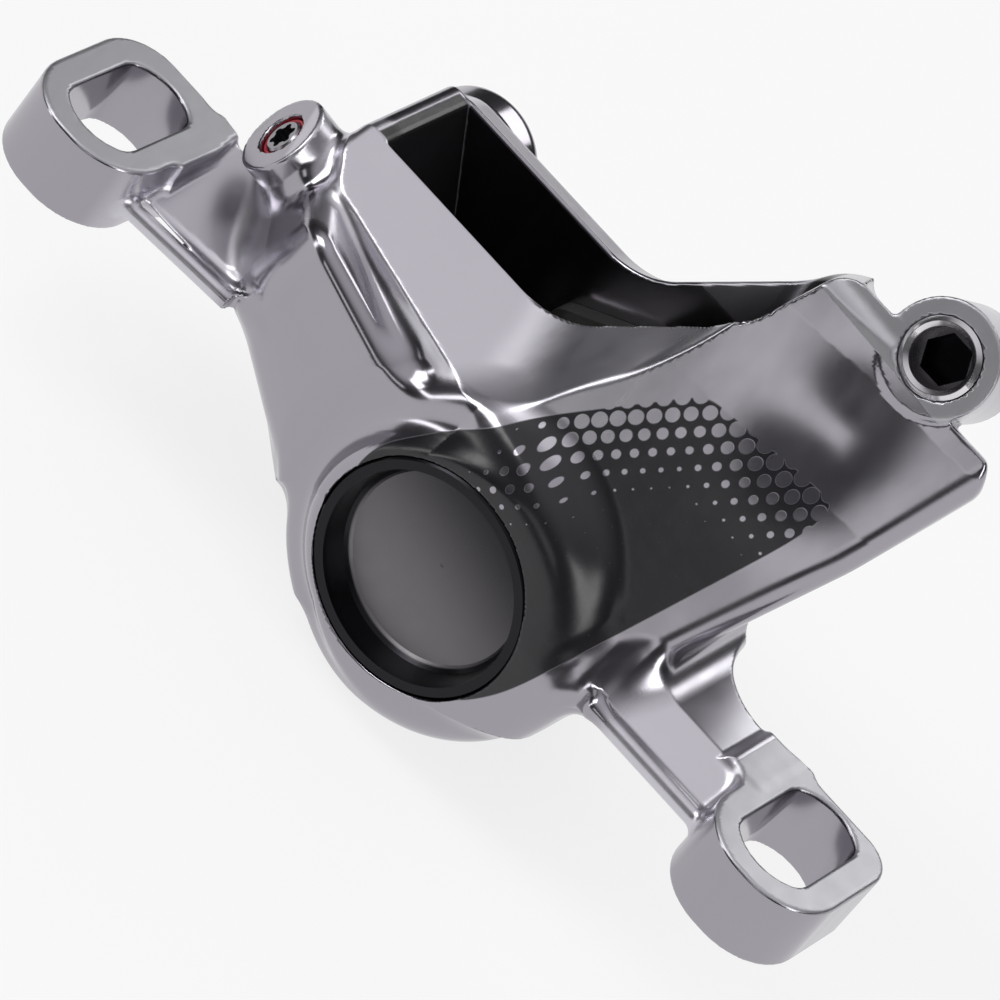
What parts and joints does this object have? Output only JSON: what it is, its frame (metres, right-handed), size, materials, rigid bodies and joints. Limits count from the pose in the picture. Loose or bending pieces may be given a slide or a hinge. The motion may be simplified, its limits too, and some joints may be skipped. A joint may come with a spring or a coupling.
{
  "type": "bicycle disc brake caliper",
  "caption": "Post-mount hydraulic disc brake caliper with opposed pistons, top-loading pads, pad pin, bleed screw and hose port.",
  "frame": {"origin": "midway between the two bolt axes, on the plane of the lug seats", "axes": "+X along the line of the two mounting bolts, +Y from the bolt line towards the rotor (rotor axis), +Z along the bolts, away from the seats"},
  "size_m": [0.0858, 0.0365, 0.0532],
  "materials": {
    "forged_body": "forged aluminium, polished and dark silver, matte on machined faces",
    "black_cap": "satin black anodised",
    "black_rubber": "matte",
    "piston_metal": "satin",
    "insulator": "moulded, matte",
    "pad_steel": "dark plated steel",
    "friction": "sintered metal, grainy",
    "spring_steel": "bright spring steel",
    "pin_steel": "turned steel",
    "clip_steel": "dark spring steel",
    "bright_steel": "turned stainless steel, bright",
    "plug_steel": "dark steel",
    "red_rubber": "matte"
  },
  "bodies": {
    "caliper": {"caliper_body": "forged_body", "bore_cap": "black_cap", "bore_cap_seal": "black_rubber", "outer_piston_seal": "black_rubber", "inner_piston_seal": "black_rubber", "pad_spring": "spring_steel", "pad_pin": "pin_steel", "pad_pin_clip": "clip_steel", "plug_screw": "plug_steel", "plug_screw_seal": "red_rubber"},
    "outer_piston": {"outer_piston": "piston_metal", "outer_piston_insulator": "insulator"},
    "inner_piston": {"inner_piston": "piston_metal", "inner_piston_insulator": "insulator"},
    "outer_pad": {"outer_pad_plate": "pad_steel", "outer_pad_friction": "friction"},
    "inner_pad": {"inner_pad_plate": "pad_steel", "inner_pad_friction": "friction"},
    "bleed_screw": {"bleed_screw": "bright_steel", "bleed_screw_seal": "black_rubber"}
  },
  "joints": [
    {"name": "outer_piston_slide", "type": "slide", "parent": "caliper", "child": "outer_piston", "axis": [0, 1, 0], "range_m": [0, 0.001], "deforming": ["pad_spring"]},
    {"name": "inner_piston_slide", "type": "slide", "parent": "caliper", "child": "inner_piston", "axis": [0, -1, 0], "range_m": [0, 0.001]},
    {"name": "outer_pad_slide", "type": "slide", "parent": "caliper", "child": "outer_pad", "axis": [0, 1, 0], "range_m": [0, 0.001]},
    {"name": "inner_pad_slide", "type": "slide", "parent": "caliper", "child": "inner_pad", "axis": [0, -1, 0], "range_m": [0, 0.001]},
    {"name": "bleed_screw_turn", "type": "hinge", "parent": "caliper", "child": "bleed_screw", "pos_m": [0.0192, 0.013, 0.0352], "axis": [0, -0.891, 0.454], "range_deg": [0, 90]}
  ],
  "couplings": [
    {"joint": "inner_piston_slide", "follows": "outer_piston_slide", "ratio": 1},
    {"joint": "outer_pad_slide", "follows": "outer_piston_slide", "ratio": 1},
    {"joint": "inner_pad_slide", "follows": "outer_piston_slide", "ratio": 1}
  ]
}
